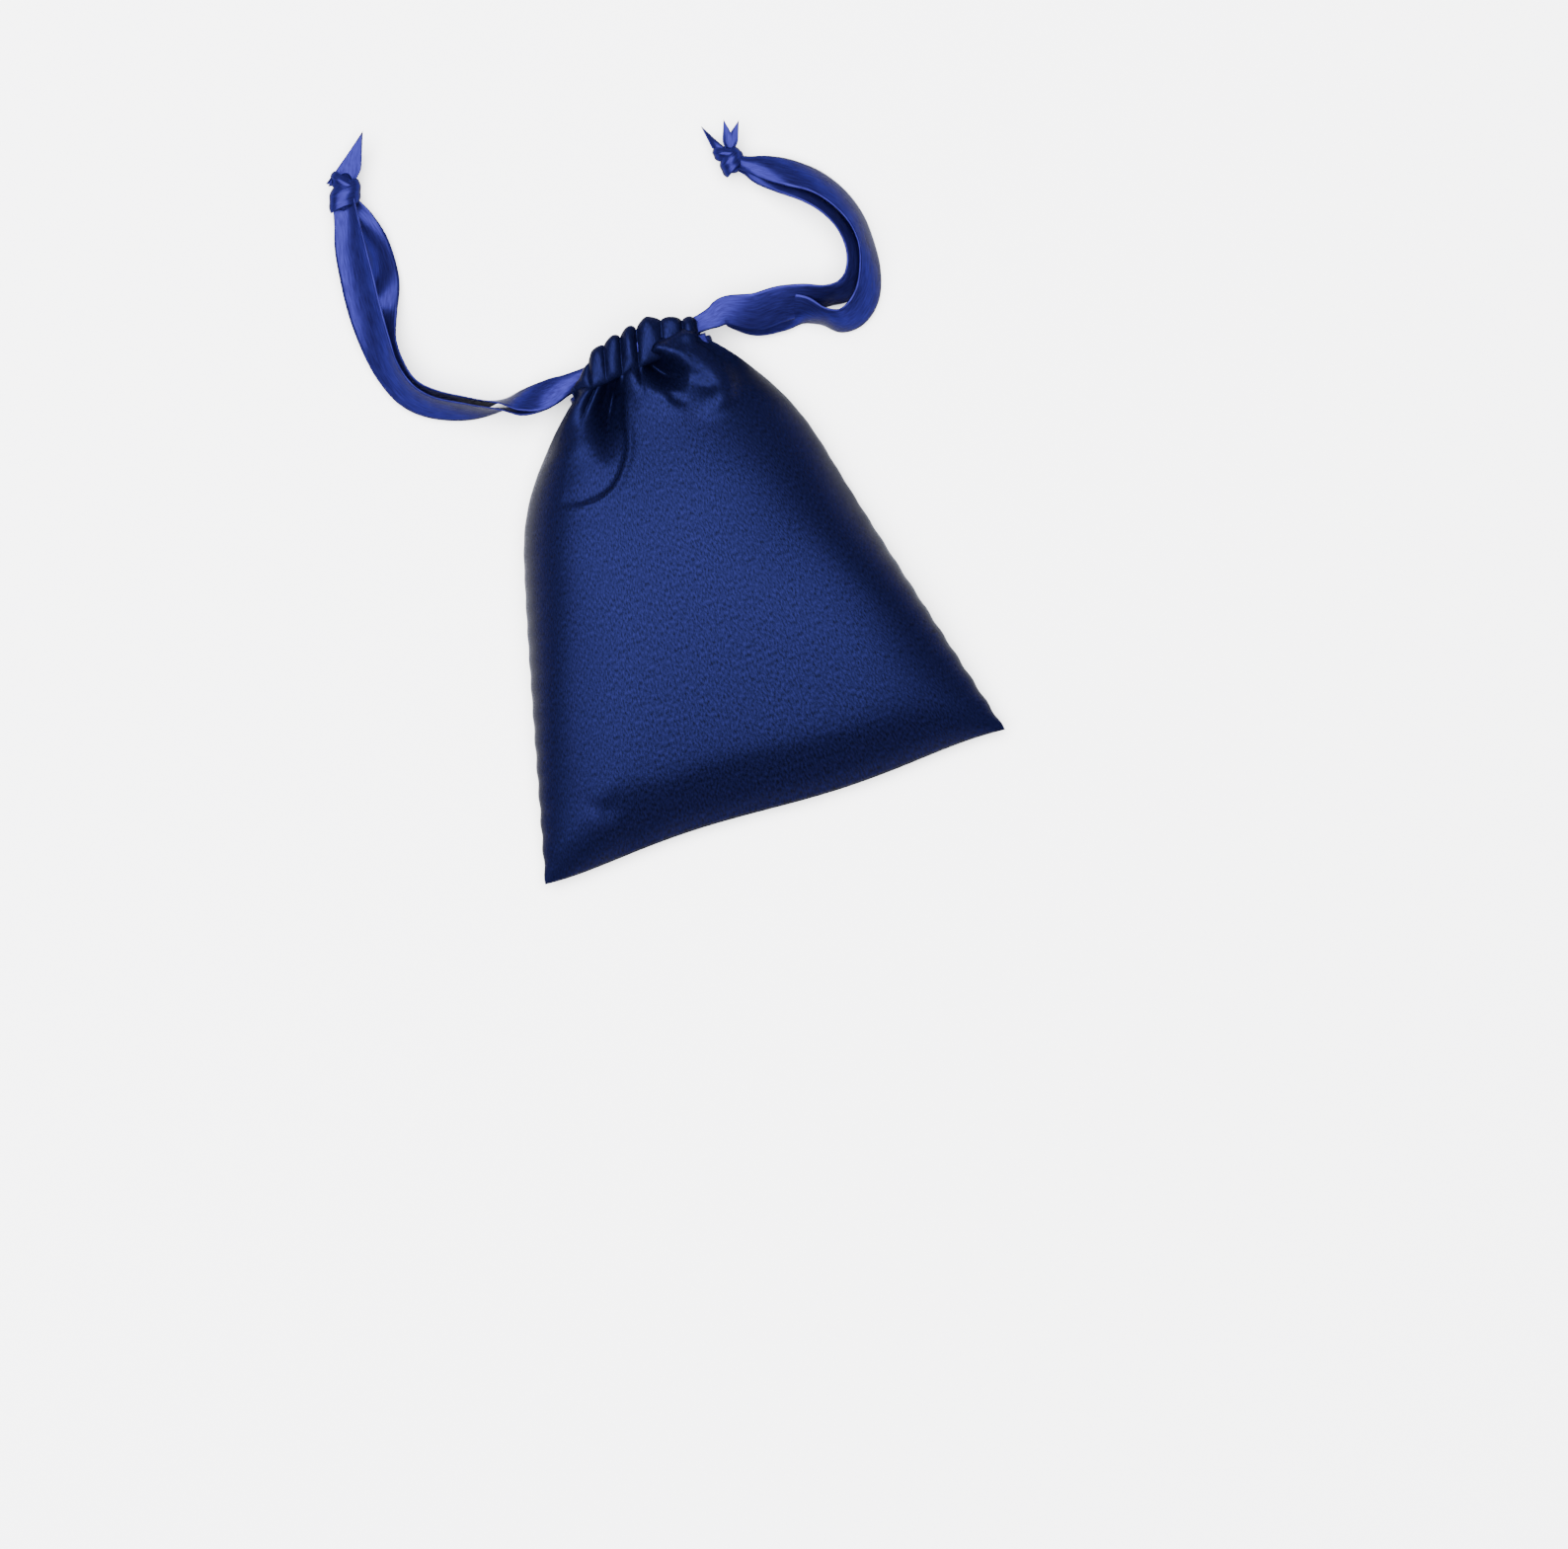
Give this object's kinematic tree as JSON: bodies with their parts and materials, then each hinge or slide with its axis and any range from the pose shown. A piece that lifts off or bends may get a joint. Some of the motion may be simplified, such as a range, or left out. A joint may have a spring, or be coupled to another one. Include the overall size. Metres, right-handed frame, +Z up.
{
  "type": "drawstring gift pouch",
  "caption": "Satin drawstring gift pouch lying on its back, its mouth drawn up into a gathered casing by ribbons that are knotted at both sides.",
  "frame": {"origin": "on the table, under the middle of the pouch: the centre of the underside of the pouch's box, its free ribbon ends left out", "axes": "+X to the right along the bottom seam, +Y from the bottom seam to the mouth, +Z up from the table"},
  "size_m": [0.123, 0.1812, 0.022],
  "materials": {
    "pouch_satin": "satin weave, soft sheen",
    "ribbon_satin": "double-faced satin, brighter sheen",
    "sewing_thread": "matt twisted thread"
  },
  "bodies": {
    "pouch": {"front_panel": "pouch_satin", "back_panel": "pouch_satin", "left_seam_overlock": "sewing_thread", "right_seam_overlock": "sewing_thread", "bottom_seam_overlock": "sewing_thread", "back_casing": "pouch_satin", "back_casing_stitching": "sewing_thread", "left_ribbon_back_run": "ribbon_satin", "right_ribbon_back_run": "ribbon_satin", "left_ribbon_turn": "ribbon_satin", "right_ribbon_turn": "ribbon_satin"},
    "front_lip": {"front_casing": "pouch_satin", "front_casing_stitching": "sewing_thread", "left_ribbon_front_run": "ribbon_satin", "right_ribbon_front_run": "ribbon_satin"},
    "left_drawstring": {"left_ribbon_front_strand": "ribbon_satin", "left_ribbon_back_strand": "ribbon_satin", "left_knot": "ribbon_satin", "left_tail_front": "ribbon_satin", "left_tail_back": "ribbon_satin"},
    "right_drawstring": {"right_ribbon_front_strand": "ribbon_satin", "right_ribbon_back_strand": "ribbon_satin", "right_knot": "ribbon_satin", "right_tail_front": "ribbon_satin", "right_tail_back": "ribbon_satin"}
  },
  "joints": [
    {"name": "mouth_opening", "type": "hinge", "parent": "pouch", "child": "front_lip", "pos_m": [0, 0.0176, 0.012], "axis": [0.9945, 0.1045, 0], "range_deg": [-3, 13]},
    {"name": "left_drawstring_pull", "type": "slide", "parent": "pouch", "child": "left_drawstring", "axis": [-0.9945, -0.1045, 0], "range_m": [-0.0056, 0.0014]},
    {"name": "right_drawstring_pull", "type": "slide", "parent": "pouch", "child": "right_drawstring", "axis": [0.9945, 0.1045, 0], "range_m": [-0.0056, 0.0014]}
  ],
  "couplings": [
    {"joint": "left_drawstring_pull", "follows": "mouth_opening", "m_per_rad": -0.024},
    {"joint": "right_drawstring_pull", "follows": "mouth_opening", "m_per_rad": -0.024}
  ]
}
